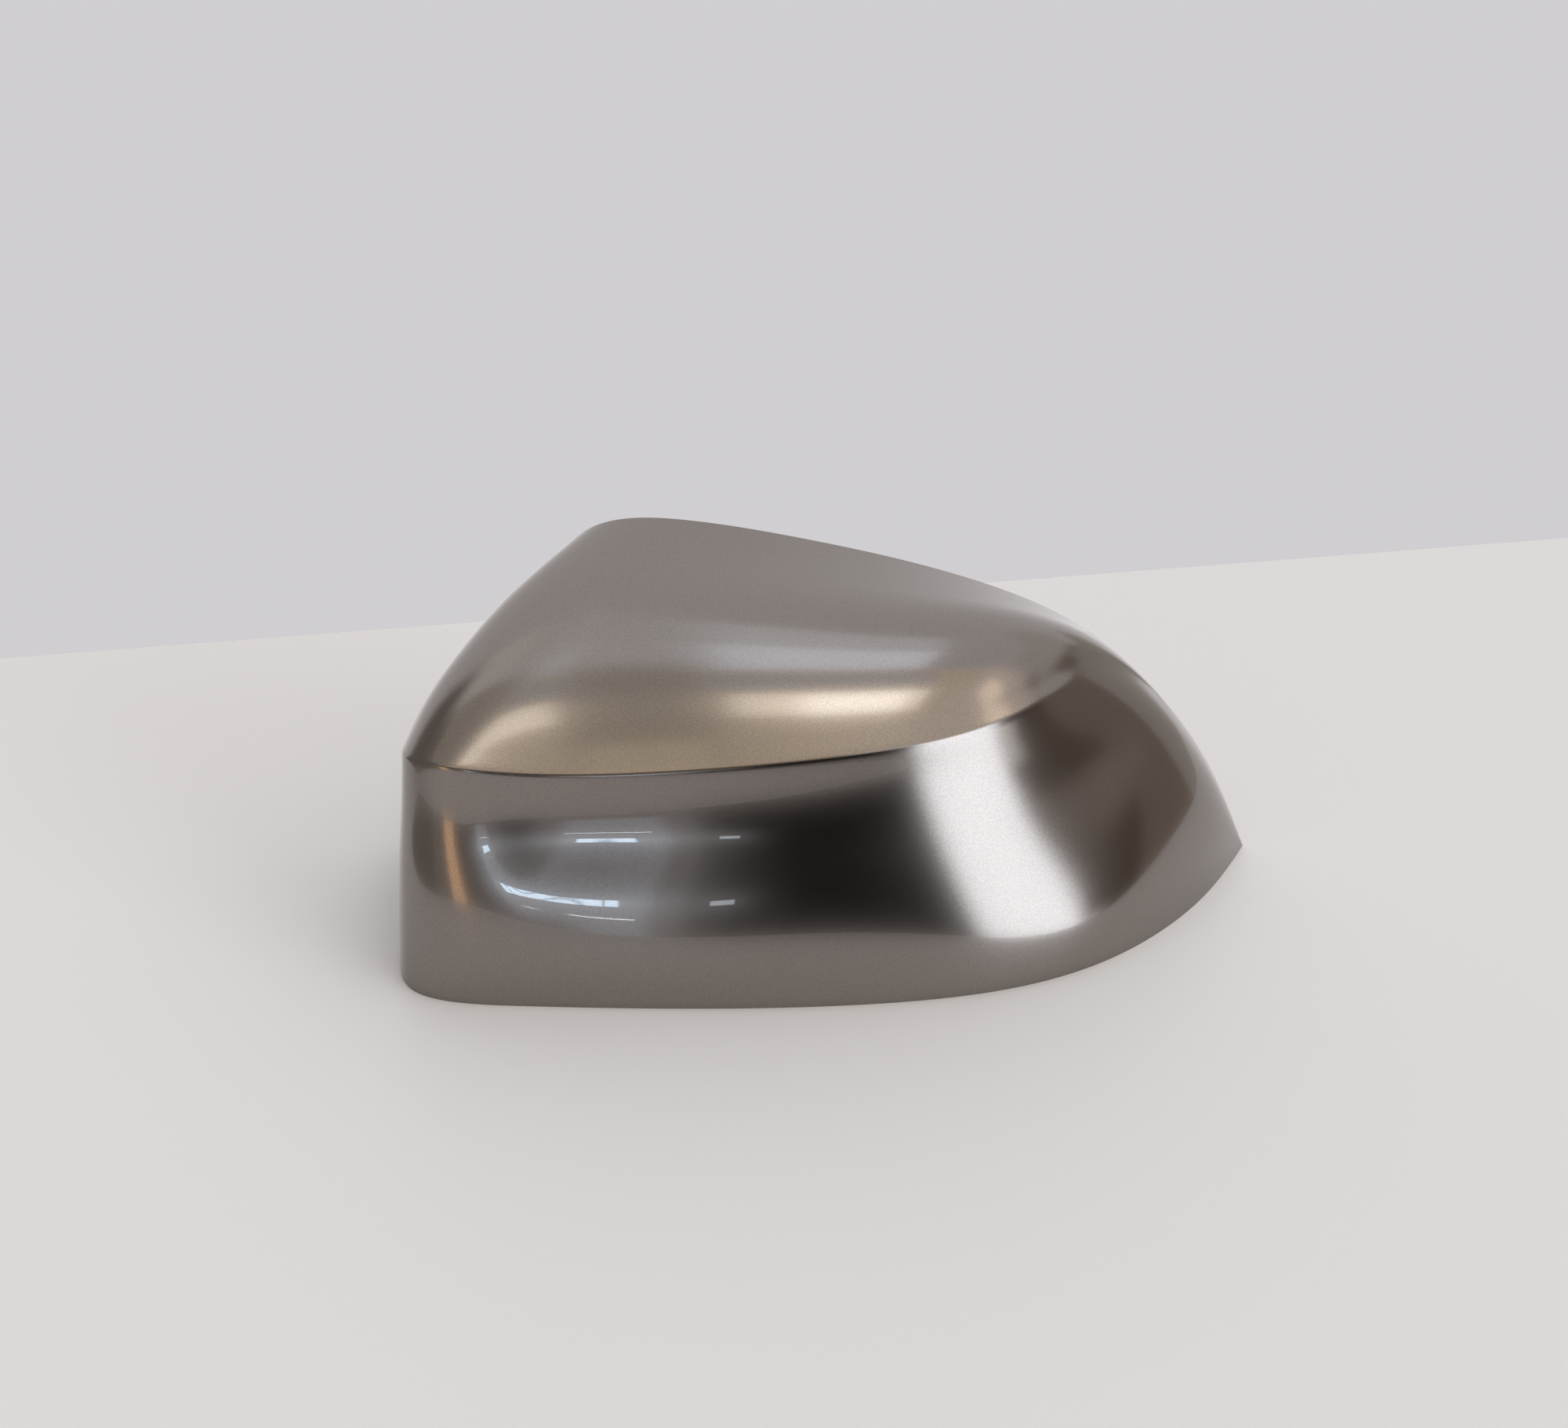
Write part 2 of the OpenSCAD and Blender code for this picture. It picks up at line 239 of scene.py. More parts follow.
@dataclass(frozen=True)
class BronzePaint(Finish):
    """Bronze-grey metallic base coat under a glossy clear coat."""

    colour: Colour = (0.235, 0.208, 0.19)
    rim_colour: Colour = (0.62, 0.60, 0.58)
    flake_size: float = 0.35 * MM
    flake_contrast: float = 0.10
    cloud_size: float = 30 * MM
    roughness: float = 0.19
    roughness_change: float = 0.02
    coat_roughness: float = 0.02
    coat_ior: float = 1.5

    def surface(self, bench: Bench, place: bpy.types.NodeSocket) -> dict:
        """Flakes lighten and darken the base coat, and faint clouds change its gloss."""
        flakes = bench.noise(place, self.flake_size, 1.0)
        clouds = bench.noise(place, self.cloud_size)
        dark = tuple(c * (1 - self.flake_contrast) for c in self.colour)
        light = tuple(c * (1 + self.flake_contrast) for c in self.colour)
        return {
            "Base Color": bench.mix(flakes.fade(0.3, 0.7), dark, light),
            "Metallic": 1.0,
            "Roughness": self.roughness + (clouds - 0.5) * self.roughness_change,
            "Specular Tint": (*self.rim_colour, 1.0),
            "Coat Weight": 1.0,
            "Coat Roughness": self.coat_roughness,
            "Coat IOR": self.coat_ior,
        }


@dataclass(frozen=True)
class BarePlastic(Finish):
    """Unpainted dark plastic, with overspray that fades away from the edges of the shell."""

    colour: Colour = (0.022, 0.022, 0.024)
    overspray: Colour = (0.11, 0.10, 0.092)
    reach: float = 16 * MM
    start: float = 9 * MM
    cover: float = 0.85
    mist_size: float = 4 * MM
    mist_depth: float = 12 * MM
    speck_size: float = 0.8 * MM
    speck_depth: float = 6 * MM
    grain_size: float = 0.6 * MM
    grain_strength: float = 0.25
    grain_depth: float = 0.1 * MM
    roughness: float = 0.48
    roughness_change: float = 0.16

    def surface(self, bench: Bench, place: bpy.types.NodeSocket) -> dict:
        """The overspray is thickest at the lower edge and the glass-side edge."""
        _, back, up = bench.parts(place)
        rear = CAD_BOX[1][1]
        from_edge = up.lowest(rear - back)
        mist = (bench.noise(place, self.mist_size) * self.mist_depth
                + bench.noise(place, self.speck_size, 1.0) * self.speck_depth)
        spray = (from_edge + mist - self.start).fade(self.reach, 0.0) * self.cover
        grain = bench.noise(place, self.grain_size)
        bump = bench.add("ShaderNodeBump", {}, {
            "Strength": self.grain_strength, "Distance": self.grain_depth, "Height": grain})
        return {
            "Base Color": bench.mix(spray, self.colour, self.overspray),
            "Roughness": self.roughness + (grain - 0.5) * self.roughness_change,
            "Normal": bump.outputs[0],
        }


@dataclass(frozen=True)
class CutEdge(Finish):
    """Dark edge of the shell, in patches of two darknesses."""

    colour: Colour = (0.05, 0.044, 0.04)
    patch_darkening: float = 0.6
    patch_size: float = 3 * MM
    roughness: float = 0.42
    roughness_change: float = 0.1

    def surface(self, bench: Bench, place: bpy.types.NodeSocket) -> dict:
        """Patches of the dark colour and of a darker one."""
        patches = bench.noise(place, self.patch_size)
        darker_patch = tuple(c * self.patch_darkening for c in self.colour)
        return {
            "Base Color": bench.mix(patches.fade(0.35, 0.65), darker_patch, self.colour),
            "Roughness": self.roughness + (patches - 0.5) * self.roughness_change,
        }


PAINT = BronzePaint("bronze_metallic_paint")
PLASTIC = BarePlastic("bare_dark_plastic")
# The cut edge and both its bevels take this dark colour, much darker than the bronze paint.
EDGE = CutEdge("dark_cut_edge")


def unit(vector: Vector) -> Vector:
    """The vector at length 1."""
    return vector / vector.length


def blend(points: Sequence[Vector], at: float) -> Vector:
    """Point of the smooth curve through a row of guide points.

    Args:
        points: The guide points. The curve ends on the first and the last one.
        at: The place along the row, as a fractional number.

    Returns:
        The point, or the number where the guide points are numbers.
    """
    last = len(points) - 1
    s = min(int(at), last - 1)
    t = at - s
    before = 2 * points[0] - points[1] if s == 0 else points[s - 1]
    after = 2 * points[last] - points[last - 1] if s == last - 1 else points[s + 2]
    weights = ((1 - t) ** 3, 3 * t**3 - 6 * t * t + 4, 1 + 3 * t + 3 * t * t - 3 * t**3, t**3)
    rows = (before, points[s], points[s + 1], after)
    total = weights[0] * rows[0]
    for weight, row in zip(weights[1:], rows[1:]):
        total = total + weight * row
    return total / 6


@dataclass
class CoverForm:
    """Guide points of the cover's outer and inner skin, in millimetres.

    Sections run from the inner side (0) round the front inner corner (3) to the outer tip (11). Rows run
    from the lower edge (0) over the ridge (5) to the glass-side edge (10). The values are the part's own.
    """

    cap_w: float = 240.0
    cap_d: float = 92.0
    cap_h: float = 103.0
    wall: float = 2.5
    corner_w: float = 38.0
    front_bow: float = 1.3
    front_lean: float = 11.9
    side_lean: float = 4.0
    ridge_h: float = 65.0
    ridge_round: float = 1.3
    round_share: float = 0.7
    crown: float = 11.0
    side_edge: tuple = ((1, 92), (0, 70), (0, 40), (0, 3.5))
    front_share: tuple = (0, 0.21, 0.415, 0.614, 0.766, 0.88, 0.949, 1)
    bow_share: tuple = (1, -0.2, 0.85)
    sweep: tuple = (0.079, 0.251, 0.517, 0.759, 1)
    last_creased: int = 8
    lean_side: tuple = (0.83, 1, 1, 1, 0, 0, 0, 0, 0)
    lean_along: tuple = (0, 0, 0, 0, 0.057, 0, 0, -0.057, -0.474)
    lean_back: tuple = (0, 0, 0, 0.516, 1, 1, 1, 1.515, 2.689)
    ridge_rise: tuple = (0.68, 0.751, 0.897, 1.044, 0.939, 0.979, 1.033, 1.055, 1.152)
    ridge_soft: tuple = (1, 1, 1, 1, 1, 1, 1, 1.3, 5)
    swell: tuple = (0, 0.052, 0.367, 0.585, 1.107, 1.371, 1.304, 1.317, 0.444)
    swell_back: tuple = (0.55, 0.6, 0.983, 0.824, 0.677, 0.607, 0.597, 0.558, 0.513)
    swell_turn: tuple = (45, 45, 40, 25, 8, 0, 0, 0, 0)
    rear_x: tuple = (-0.95, -0.848, -0.704, -0.586, -0.341, -0.108, 0.134, 0.352, 0.546, 0.706, 0.9, 1)
    rear_z: tuple = (0.425, 0.6, 0.816, 1.014, 0.999, 0.949, 0.887, 0.812, 0.716, 0.57, 0.296, 0)
    wall_side: tuple = (0, 0.12, 0.36, 0.74)
    wall_up: tuple = (0, 0.149, 0.504, 0.733)
    wall_front: tuple = (
        (0, 0, 0, 0, 0, 0, 0, 0, 0),
        (-0.06, -0.06, -0.06, -0.06, -0.081, -0.138, -0.12, -0.07, -0.11),
        (0.266, 0.266, 0.266, 0.266, 0.301, 0.337, 0.332, 0.335, 0.404),
        (0.908, 0.908, 0.908, 0.908, 0.887, 0.845, 0.835, 0.826, 0.798))
    crown_run: tuple = (0.209, 0.464, 0.69)
    crown_up: tuple = (0.917, 1)
    roll_turn: float = 87.9
    roll_full: float = 0.86

    SIDE = 3
    TIP = 11
    RIDGE = 5
    REAR = 10

    def __post_init__(self) -> None:
        """Works both nets of guide points out once."""
        self.half_w = self.cap_w / 2
        peak = max(blend(self.rear_z, 2 + k / 50) for k in range(151))
        self.rear_z = tuple(z / peak for z in self.rear_z)
        self.outer = [self._creased(i) if i <= self.last_creased else self._rolled(i)
                      for i in range(self.TIP + 1)]
        self.inner = self._inner_net()

    def edge_point(self, i: int) -> Vector:
        """Start of section i on the lower edge."""
        if i <= self.SIDE:
            in_from_side, back = self.side_edge[i]
            return Vector((in_from_side - self.half_w, back, 0))
        x = -self.half_w + self.corner_w + (self.cap_w - self.corner_w) * self.front_share[i - 4]
        y = self.front_bow * self.bow_share[i - 4] if i < 7 else self.cap_d * self.sweep[i - 7]
        return Vector((x, y, 0))

    def lean(self, i: int) -> Vector:
        """Lean of the wall of section i from the lower edge to the ridge."""
        return Vector((self.side_lean * self.lean_side[i] + self.front_lean * self.lean_along[i],
                       self.front_lean * self.lean_back[i], 0))

    def ridge_point(self, i: int) -> Vector:
        """Point of the ridge on section i."""
        return self.edge_point(i) + self.lean(i) + Vector((0, 0, self.ridge_h * self.ridge_rise[i]))

    def rear_point(self, i: int) -> Vector:
        """End of section i on the glass-side edge. The first one meets the ridge at the back."""
        if i == 0:
            return self.ridge_point(0)
        return Vector((self.half_w * self.rear_x[i], self.cap_d, self.cap_h * self.rear_z[i]))

    def _creased(self, i: int) -> list[Vector]:
        """Guide points of a section that carries the ridge."""
        edge, lean, ridge, rear = self.edge_point(i), self.lean(i), self.ridge_point(i), self.rear_point(i)
        turn = math.radians(self.swell_turn[i])
        rise = self.swell[i] * self.crown * Vector((-math.sin(turn), 0, math.cos(turn)))
        above = [ridge + run * (rear - ridge) + up * rise
                 for run, up in zip(self.crown_run, (*self.crown_up, self.swell_back[i]))]
        way = above[0] - ridge
        half = self.ridge_round * self.ridge_soft[i]
        step = Vector() if i == 0 else unit(way) * min(half, self.round_share * way.length)
        below = [edge + Vector((side * lean.x, front[i] * lean.y, up * ridge.z))
                 for side, front, up in zip(self.wall_side, self.wall_front, self.wall_up)]
        drop = self.ridge_round if i == 0 else step.length
        tight = [ridge - drop * unit(ridge - below[3]), ridge, ridge + step]
        return below + tight + above + [rear]

    def _rolled(self, i: int) -> list[Vector]:
        """Guide points of a section that rolls over smoothly, on a quarter of an ellipse."""
        edge, rear = self.edge_point(i), self.rear_point(i)
        row = []
        for k in range(self.REAR + 1):
            past = (k - self.RIDGE) / (self.REAR - self.RIDGE)
            turn = self.roll_turn * k / self.RIDGE if past <= 0 else (
                self.roll_turn + (90 - self.roll_turn) * past)
            back = 1 - max(math.cos(math.radians(turn)), 0) ** self.roll_full
            up = math.sin(math.radians(turn)) ** self.roll_full
            row.append(Vector((edge.x + (rear.x - edge.x) * back,
                               edge.y + (rear.y - edge.y) * back, rear.z * up)))
        return row

    def _mitre(self, before: Vector, at: Vector, after: Vector, flip: int) -> Vector:
        """Corner of a flat outline, moved in so that both its sides move in by the wall."""
        first, second = unit(at - before), unit(after - at)
        mean = unit(first + second)
        return at + self.wall * flip * Vector((-mean.y, mean.x)) / max(0.3, mean.dot(first))

    def _inner_net(self) -> Net:
        """Guide points of the inner skin: the outer ones moved in by the wall."""
        last = self.TIP
        edge = [row[0].xy for row in self.outer]
        slope = unit(edge[last] - edge[last - 1])
        tip = Vector((self.half_w - self.wall / slope.y, self.cap_d))
        inner_edge = ([edge[0] + Vector((self.wall, 0))]
                      + [self._mitre(edge[i - 1], edge[i], edge[i + 1], 1) for i in range(1, last)] + [tip])
        rear = [row[self.REAR].xz for row in self.outer]
        inner_rear = ([self._mitre(self.outer[0][3].xz, rear[0], rear[1], -1)]
                      + [self._mitre(rear[i - 1], rear[i], rear[i + 1], -1) for i in range(1, last)]
                      + [Vector((tip.x, 0))])
        net = []
        for i in range(last + 1):
            row = []
            for k in range(self.REAR + 1):
                if k == 0:
                    row.append(Vector((*inner_edge[i], 0)))
                elif k == self.REAR or i == last or (i == 0 and k >= self.RIDGE):
                    row.append(Vector((inner_rear[i].x, self.cap_d, inner_rear[i].y)))
                elif i == 0:
                    at = self.outer[0][k]
                    row.append(Vector((at.x + self.wall, self.cap_d, min(at.z, inner_rear[0].y - 0.5))))
                else:
                    row.append(self._moved_in(i, k))
            net.append(row)
        return net

    def _moved_in(self, i: int, k: int) -> Vector:
        """Inner guide point away from the edges."""
        at = self.outer[i][k]
        along = unit(at - self.outer[i - 1][k]) + unit(self.outer[i + 1][k] - at)
        up = unit(at - self.outer[i][k - 1]) + unit(self.outer[i][k + 1] - at)
        inward = unit(up.cross(along))
        return at + self.wall * inward / (along.length / 2 * up.length / 2)

    def placed(self, point: Vector) -> Vector:
        """A guide point in metres, in the frame of the part."""
        return Vector((point.x, point.y - self.cap_d / 2, point.z)) * MM

    def on_skin(self, net: Net, u: float, v: float) -> Vector:
        """Point of a skin at section u and row v, in metres."""
        rows = [blend([section[k] for section in net], u) for k in range(self.REAR + 1)]
        return self.placed(blend(rows, v))

    def mid_wall(self, u: float, v: float) -> Vector:
        """Middle of the wall at section u and row v, in metres."""
        return (self.on_skin(self.outer, u, v) + self.on_skin(self.inner, u, v)) / 2

    def inward(self, u: float, v: float) -> Vector:
        """Way from the wall into the hollow at section u and row v."""
        return unit(self.on_skin(self.inner, u, v) - self.on_skin(self.outer, u, v))


def clear_selection() -> None:
    """Deselects every object."""
    bpy.ops.object.select_all(action="DESELECT")


def pick(piece: bpy.types.Object) -> None:
    """Makes one piece the selected and active object."""
    clear_selection()
    piece.select_set(True)
    bpy.context.view_layer.objects.active = piece


def in_edit_mode(piece: bpy.types.Object, work: Callable[[bmesh.types.BMesh], None]) -> None:
    """Runs some work on a piece's mesh in edit mode.

    Args:
        piece: The piece.
        work: A function that selects by place and calls mesh operators.
    """
    pick(piece)
    bpy.ops.object.mode_set(mode="EDIT")
    bpy.ops.mesh.select_all(action="DESELECT")
    work(bmesh.from_edit_mesh(piece.data))
    bpy.ops.object.mode_set(mode="OBJECT")


def apply_modifier(piece: bpy.types.Object, kind: str, **settings: object) -> None:
    """Adds one modifier to a piece and applies it.

    Args:
        piece: The piece.
        kind: The modifier's type.
        settings: Its properties.
    """
    pick(piece)
    modifier = piece.modifiers.new(kind.lower(), kind)
    for name, value in settings.items():
        setattr(modifier, name, value)
    bpy.ops.object.modifier_apply(modifier=modifier.name)


def settle(piece: bpy.types.Object) -> None:
    """Moves a piece's place, turn and size into its mesh."""
    pick(piece)
    bpy.ops.object.transform_apply(location=True, rotation=True, scale=True)


def enter(piece: bpy.types.Object, finishes: Sequence[Finish]) -> None:
    """Dresses a finished piece and enters it in the frame.

    The slots are filled one by one, because clearing them would put every face in the first.

    Args:
        piece: The piece.
        finishes: Its finishes, in the order of its material slots.
    """
    slots = piece.data.materials
    for _ in range(len(finishes) - len(slots)):
        slots.append(None)
    for place, finish in enumerate(finishes):
        slots[place] = finish.material()
    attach(piece, BODY)
    LOG.info("%s: %d faces", piece.name, len(piece.data.polygons))


@dataclass
class PaintedShell:
    """The moulded wall: an outer and an inner skin, closed by a bevelled edge."""

    form: CoverForm
    levels: int = 4
    edge_bevel: float = 0.4 * MM
    weld_gap: float = 0.004 * MM
    INNER = 1
    CUT = 2

    def sheet(self, name: str, net: Net) -> bpy.types.Object:
        """Lays a grid on guide points and smooths it.

        Args:
            name: The piece's name.
            net: The guide points.

        Returns:
            The smooth open sheet.
        """
        cells = (len(net) - 1, len(net[0]) - 1)
        clear_selection()
        bpy.ops.mesh.primitive_grid_add(x_subdivisions=cells[0], y_subdivisions=cells[1], size=2)
        sheet = bpy.context.object
        sheet.name = name
        for vert in sheet.data.vertices:
            section, row = (round((place + 1) / 2 * count) for place, count in zip(vert.co.xy, cells))
            vert.co = self.form.placed(net[section][row])
        apply_modifier(sheet, "SUBSURF", levels=self.levels, render_levels=self.levels,
                       boundary_smooth="PRESERVE_CORNERS", use_limit_surface=True)
        return sheet

    def build(self) -> bpy.types.Object:
        """Makes the shell.

        Returns:
            The finished shell.
        """
        shell = self.sheet("painted_shell", self.form.outer)
        inner = self.sheet("inner_skin", self.form.inner)
        if self._faces_in(shell, inner):
            shell.data.flip_normals()
        self._thicken(shell, inner)
        self._bevel_edge(shell)
        pick(shell)
        bpy.ops.object.shade_smooth_by_angle(angle=SMOOTH_ANGLE)
        enter(shell, [PAINT, PLASTIC, EDGE])
        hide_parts(NODE)
        return shell

    @staticmethod
    def _faces_in(shell: bpy.types.Object, inner: bpy.types.Object) -> bool:
        """True if the outer sheet's faces look at the inner sheet."""
        face = shell.data.polygons[len(shell.data.polygons) // 2]
        corner = face.vertices[0]
        return face.normal.dot(inner.data.vertices[corner].co - shell.data.vertices[corner].co) > 0

    def _thicken(self, shell: bpy.types.Object, inner: bpy.types.Object) -> None:
        """Gives the outer sheet a wall, and lays the wall's inner side on the inner sheet.

        Args:
            shell: The outer sheet, which becomes the closed wall.
            inner: The inner sheet, which is used up.
        """
        laid = [vert.co.copy() for vert in inner.data.vertices]
        for _ in range(3):
            shell.data.materials.append(None)
        apply_modifier(shell, "SOLIDIFY", thickness=self.form.wall * MM, offset=-1.0, use_rim=True,
                       material_offset=self.INNER, material_offset_rim=self.CUT)
        for vert, place in zip(list(shell.data.vertices)[len(laid):], laid):
            vert.co = place
        bpy.data.objects.remove(inner)

        def weld(mesh: bmesh.types.BMesh) -> None:
            """Closes the tip and the back end of the ridge, where rows run together."""
            bpy.ops.mesh.select_all(action="SELECT")
            bpy.ops.mesh.remove_doubles(threshold=self.weld_gap)
            bpy.ops.mesh.dissolve_degenerate(threshold=self.weld_gap)

        in_edit_mode(shell, weld)

    def _bevel_edge(self, shell: bpy.types.Object) -> None:
        """Bevels both corners of the cut edge.

        The skins slide back from the corners, and a narrower strip is inset in the cut edge.

        Args:
            shell: The closed wall.
        """
        def work(mesh: bmesh.types.BMesh) -> None:
            """Selects the cut edge, slides its corners back and insets it."""
            strip = [face for face in mesh.faces if face.material_index == self.CUT]
            for face in strip:
                face.select = True
            corners = {vert for face in strip for vert in face.verts}
            moves = {}
            for vert in corners:
                inner_ways = [edge.other_vert(vert).co - vert.co for edge in vert.link_edges
                              if edge.other_vert(vert) not in corners]
                if inner_ways:
                    way = min(inner_ways, key=lambda w: w.length)
                    moves[vert] = unit(way) * min(self.edge_bevel, 0.5 * way.length)
            bmesh.update_edit_mesh(shell.data)
            bpy.ops.mesh.inset(thickness=self.edge_bevel, use_boundary=True, use_even_offset=True)
            for vert, move in moves.items():
                vert.co += move
            bmesh.update_edit_mesh(shell.data)

        in_edit_mode(shell, work)


@dataclass
class LocatingPosts:
    """Round pins that point back from the front wall, each on a shoulder and with a chamfered end."""

    form: CoverForm
    radius: float = 3 * MM
    length: float = 26 * MM
    shoulder_radius: float = 5 * MM
    shoulder_length: float = 7 * MM
    round_sides: int = 48
    chamfer: float = 0.8 * MM
    rounding: float = 0.4 * MM
    row: float = 2.1
    sections: dict[str, float] = field(default_factory=lambda: {"inner": 4.5, "outer": 6.7})

    def build(self) -> list[bpy.types.Object]:
        """Makes both posts."""
        return [self._post(name, section) for name, section in self.sections.items()]

    def _post(self, name: str, section: float) -> bpy.types.Object:
        """Makes one post: its shoulder's end is inset and drawn out to the pin.

        Args:
            name: Which post it is.
            section: Its section along the wall.

        Returns:
            The finished post.
        """
        root = self.form.mid_wall(section, self.row)
        inward = self.form.inward(section, self.row)
        clear_selection()
        bpy.ops.mesh.primitive_cylinder_add(
            vertices=self.round_sides, radius=self.shoulder_radius, depth=self.shoulder_length,
            location=root + Vector((0, self.shoulder_length / 2, 0)), rotation=(math.pi / 2, 0, 0))
        post = bpy.context.object
        post.name = f"locating_post_{name}"
        settle(post)
        step, end = root.y + self.shoulder_length, root.y + self.length

        def draw_out(mesh: bmesh.types.BMesh) -> None:
            """Insets the shoulder's end and extrudes the pin from it."""
            for face in mesh.faces:
                face.select = all(abs(vert.co.y - step) < TOUCH for vert in face.verts)
            bmesh.update_edit_mesh(post.data)
            bpy.ops.mesh.inset(thickness=self.shoulder_radius - self.radius)
            drawn = {"value": (0, self.length - self.shoulder_length, 0)}
            bpy.ops.mesh.extrude_region_move(TRANSFORM_OT_translate=drawn)

        def bevel_rim(at: float, rim: float, width: float) -> Callable[[bmesh.types.BMesh], None]:
            """Work that bevels the round edge at a place along the post and at a radius."""
            def work(mesh: bmesh.types.BMesh) -> None:
                """Selects that edge and bevels it."""
                for edge in mesh.edges:
                    edge.select = all(abs(vert.co.y - at) < TOUCH and abs(
                        math.hypot(vert.co.x - root.x, vert.co.z - root.z) - rim) < RIM_TOUCH
                        for vert in edge.verts)
                bmesh.update_edit_mesh(post.data)
                bpy.ops.mesh.bevel(offset=width, segments=2, affect="EDGES")
            return work

        def lean_base(mesh: bmesh.types.BMesh) -> None:
            """Turns the shoulder's base into the plane of the wall it grows from."""
            turn = Vector((0, 1, 0)).rotation_difference(inward)
            for vert in mesh.verts:
                if abs(vert.co.y - root.y) < TOUCH:
                    vert.co = root + turn @ (vert.co - root)
            bmesh.update_edit_mesh(post.data)

        in_edit_mode(post, lean_base)
        in_edit_mode(post, draw_out)
        in_edit_mode(post, bevel_rim(end, self.radius, self.chamfer))
        in_edit_mode(post, bevel_rim(step, self.shoulder_radius, self.rounding))
        pick(post)
        bpy.ops.object.shade_smooth_by_angle(angle=SMOOTH_ANGLE)
        enter(post, [PLASTIC])
        return post


@dataclass
class SnapHooks:
    """Tongues that point back from the front wall, with a barb below them or above them."""

    form: CoverForm
    width: float = 10 * MM
    thick: float = 2 * MM
    length: float = 24 * MM
    barb: float = 2.2 * MM
    fillet: float = 2.5 * MM
    rounding: float = 0.25 * MM
    bevel_angle: float = 40.0
    slope_step: float = 0.2
    rows: dict[str, tuple] = field(default_factory=lambda: {
        "upper": (6.5, 1, (4.1, 5.1, 6)), "lower": (0.75, -1, (4, 5.3, 6.3))})

    def build(self) -> list[bpy.types.Object]:
        """Makes the hooks of both rows."""
        return [self._hook(f"snap_hook_{name}_{n}", section, row, way)
                for name, (row, way, sections) in self.rows.items()
                for n, section in enumerate(sections, 1)]

    def _hook(self, name: str, section: float, row: float, way: int) -> bpy.types.Object:
        """Makes one hook: its side outline is filled and extruded to its width.

        Args:
            name: The piece's name.
            section: Its section along the wall.
            row: Its row up the wall.
            way: 1 puts the barb below the tongue and -1 above it.

        Returns:
            The finished hook.
        """
        half = self.thick / 2
        root = half + self.fillet
        catch = self.length - 2 * self.barb
        step = self.slope_step / 2
        climb = self.form.mid_wall(section, row + step) - self.form.mid_wall(section, row - step)
        slope = way * climb.y / climb.z
        start = self.form.wall * MM / 2 + self.fillet
        outline = [(-root * slope, -root), (start - half * slope, -half), (catch, -half),
                   (catch, -half - self.barb), (self.length, -half), (self.length, half),
                   (start + half * slope, half), (root * slope, root)]
        middle = self.form.mid_wall(section, row)
        clear_selection()
        bpy.ops.mesh.primitive_circle_add(vertices=len(outline), fill_type="NGON")
        hook = bpy.context.object
        hook.name = name
        for vert, (back, up) in zip(hook.data.vertices, outline):
            vert.co = middle + Vector((-self.width / 2, back, way * up))

        def widen(mesh: bmesh.types.BMesh) -> None:
            """Extrudes the outline across and turns all faces outwards."""
            bpy.ops.mesh.select_all(action="SELECT")
            bpy.ops.mesh.extrude_region_move(TRANSFORM_OT_translate={"value": (self.width, 0, 0)})
            bpy.ops.mesh.select_all(action="SELECT")
            bpy.ops.mesh.normals_make_consistent(inside=False)

        in_edit_mode(hook, widen)
        apply_modifier(hook, "BEVEL", width=self.rounding, segments=2, limit_method="ANGLE",
                       angle_limit=math.radians(self.bevel_angle))
        pick(hook)
        bpy.ops.object.shade_smooth_by_angle(angle=SMOOTH_ANGLE)
        enter(hook, [PLASTIC])
        return hook


@dataclass
class StiffeningRibs:
    """Thin webs that follow the inner face from near the lower edge to near the glass-side edge."""

    form: CoverForm
    thick: float = 1.6 * MM
    height: float = 5 * MM
    sections: tuple = (4.8, 5.6, 7)
    first_row: float = 1.2
    last_row: float = 9.2
    steps: int = 36
    ramp: float = 5.0
    rounding: float = 0.3 * MM
    bevel_angle: float = 50.0

    def build(self) -> list[bpy.types.Object]:
        """Makes all ribs."""
        return [self._rib(f"stiffening_rib_{n}", section) for n, section in enumerate(self.sections, 1)]

    def _rib(self, name: str, section: float) -> bpy.types.Object:
        """Makes one rib: a strip that stands on the wall, given its thickness.

        Args:
            name: The piece's name.
            section: Its section along the wall.

        Returns:
            The finished rib.
        """
        clear_selection()
        bpy.ops.mesh.primitive_grid_add(x_subdivisions=self.steps, y_subdivisions=1, size=2)
        rib = bpy.context.object
        rib.name = name
        for vert in rib.data.vertices:
            share = (vert.co.x + 1) / 2
            row = self.first_row + (self.last_row - self.first_row) * share
            ends = min(1.0, self.ramp * share, self.ramp * (1 - share))
            stand = self.form.wall * MM / 2 + self.height * ends if vert.co.y > 0 else 0.0
            vert.co = self.form.mid_wall(section, row) + self.form.inward(section, row) * stand
        apply_modifier(rib, "SOLIDIFY", thickness=self.thick, offset=0.0, use_rim=True)
        apply_modifier(rib, "BEVEL", width=self.rounding, segments=2, limit_method="ANGLE",
                       angle_limit=math.radians(self.bevel_angle))
        pick(rib)
        bpy.ops.object.shade_smooth_by_angle(angle=SMOOTH_ANGLE)
        enter(rib, [PLASTIC])
        return rib


@dataclass(frozen=True)
class SoftBox:
    """A rectangular lamp."""

    name: str
    azimuth: float
    elevation: float
    distance: float
    width: float
    height: float
    level: float
    colour: Colour

    def place(self) -> None:
        """Adds the lamp. Its level is the brightness of its face, where a white floor is about 1."""
        turn, rise = math.radians(self.azimuth), math.radians(self.elevation)
        way = Vector((math.sin(turn) * math.cos(rise), -math.cos(turn) * math.cos(rise), math.sin(rise)))
        lamp = bpy.data.lights.new(self.name, "AREA")
        lamp.shape = "RECTANGLE"
        lamp.size = self.width
        lamp.size_y = self.height
        lamp.color = self.colour
        lamp.energy = self.level * self.width * self.height * math.pi
        holder = bpy.data.objects.new(self.name, lamp)
        bpy.context.collection.objects.link(holder)
        holder.location = AIM + way * self.distance
        holder.rotation_euler = way.to_track_quat("Z", "Y").to_euler()
        holder.visible_camera = False


